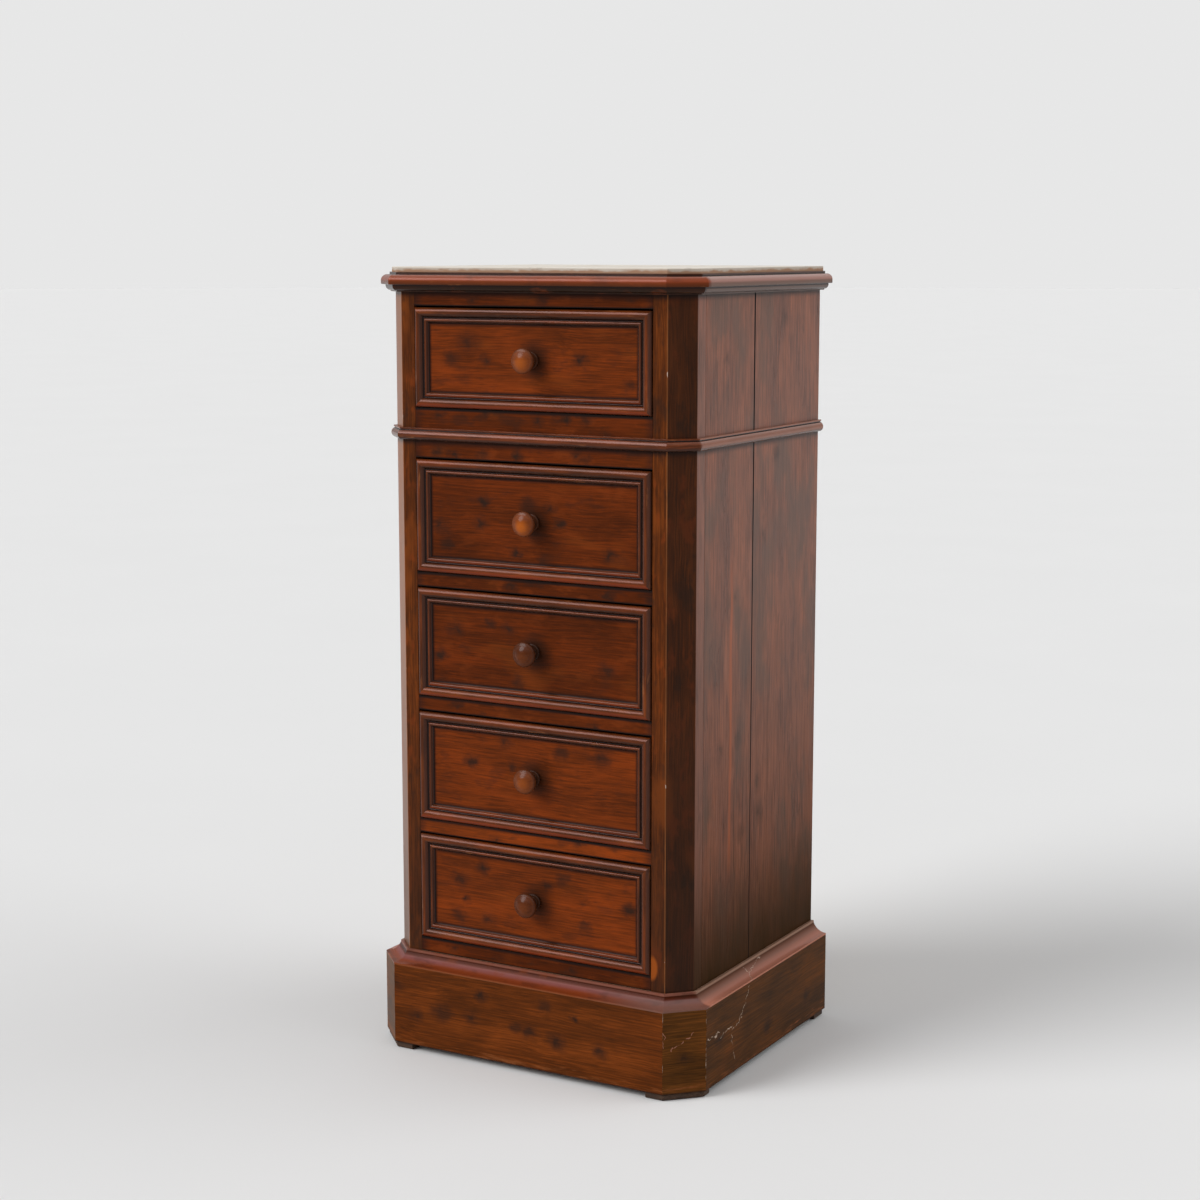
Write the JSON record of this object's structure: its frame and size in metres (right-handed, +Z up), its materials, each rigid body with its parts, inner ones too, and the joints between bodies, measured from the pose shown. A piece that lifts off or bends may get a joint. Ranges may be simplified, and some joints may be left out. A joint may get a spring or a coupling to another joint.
{
  "type": "chiffonier",
  "caption": "Narrow tall wooden chest of drawers with canted front corners, moulded cornice, waist bead and coved plinth, a stone top slab and drawers that slide out by turned knobs.",
  "frame": {"origin": "on the floor, under the middle of the whole object's box, knobs included", "axes": "+Z up, the drawers open towards -Y, +X to the right as seen from the front"},
  "size_m": [0.517, 0.4354, 1.1],
  "materials": {
    "case_wood": "satin",
    "drawer_wood": "satin",
    "moulding_wood": "satin",
    "knob_wood": "gloss",
    "inner_wood": "matte",
    "foot_wood": "matte",
    "stone": "satin"
  },
  "bodies": {
    "case": {"left_post": "case_wood", "right_post": "case_wood", "left_side_front_board": "case_wood", "left_side_rear_board": "case_wood", "right_side_front_board": "case_wood", "right_side_rear_board": "case_wood", "top_rail": "case_wood", "waist_rail": "case_wood", "drawer_rail_2": "case_wood", "drawer_rail_3": "case_wood", "drawer_rail_4": "case_wood", "bottom_rail": "case_wood", "back_boards": "inner_wood", "case_bottom": "inner_wood", "drawer_runners": "inner_wood", "drawer_stops": "inner_wood", "sub_top": "inner_wood", "stone_slab": "stone", "cornice": "moulding_wood", "waist_bead": "moulding_wood", "plinth_cove": "moulding_wood", "plinth_front": "case_wood", "plinth_sides": "case_wood", "plinth_cants": "case_wood", "feet": "foot_wood"},
    "drawer_1": {"drawer_1_front": "drawer_wood", "drawer_1_left_side": "inner_wood", "drawer_1_right_side": "inner_wood", "drawer_1_back": "inner_wood", "drawer_1_bottom": "inner_wood", "drawer_1_moulding": "moulding_wood", "drawer_1_knob": "knob_wood"},
    "drawer_2": {"drawer_2_front": "drawer_wood", "drawer_2_left_side": "inner_wood", "drawer_2_right_side": "inner_wood", "drawer_2_back": "inner_wood", "drawer_2_bottom": "inner_wood", "drawer_2_moulding": "moulding_wood", "drawer_2_knob": "knob_wood"},
    "drawer_3": {"drawer_3_front": "drawer_wood", "drawer_3_left_side": "inner_wood", "drawer_3_right_side": "inner_wood", "drawer_3_back": "inner_wood", "drawer_3_bottom": "inner_wood", "drawer_3_moulding": "moulding_wood", "drawer_3_knob": "knob_wood"},
    "drawer_4": {"drawer_4_front": "drawer_wood", "drawer_4_left_side": "inner_wood", "drawer_4_right_side": "inner_wood", "drawer_4_back": "inner_wood", "drawer_4_bottom": "inner_wood", "drawer_4_moulding": "moulding_wood", "drawer_4_knob": "knob_wood"},
    "drawer_5": {"drawer_5_front": "drawer_wood", "drawer_5_left_side": "inner_wood", "drawer_5_right_side": "inner_wood", "drawer_5_back": "inner_wood", "drawer_5_bottom": "inner_wood", "drawer_5_moulding": "moulding_wood", "drawer_5_knob": "knob_wood"}
  },
  "joints": [
    {"name": "drawer_1_slide", "type": "slide", "parent": "case", "child": "drawer_1", "axis": [0, -1, 0], "range_m": [0, 0.28]},
    {"name": "drawer_2_slide", "type": "slide", "parent": "case", "child": "drawer_2", "axis": [0, -1, 0], "range_m": [0, 0.28]},
    {"name": "drawer_3_slide", "type": "slide", "parent": "case", "child": "drawer_3", "axis": [0, -1, 0], "range_m": [0, 0.28]},
    {"name": "drawer_4_slide", "type": "slide", "parent": "case", "child": "drawer_4", "axis": [0, -1, 0], "range_m": [0, 0.28]},
    {"name": "drawer_5_slide", "type": "slide", "parent": "case", "child": "drawer_5", "axis": [0, -1, 0], "range_m": [0, 0.28]}
  ]
}
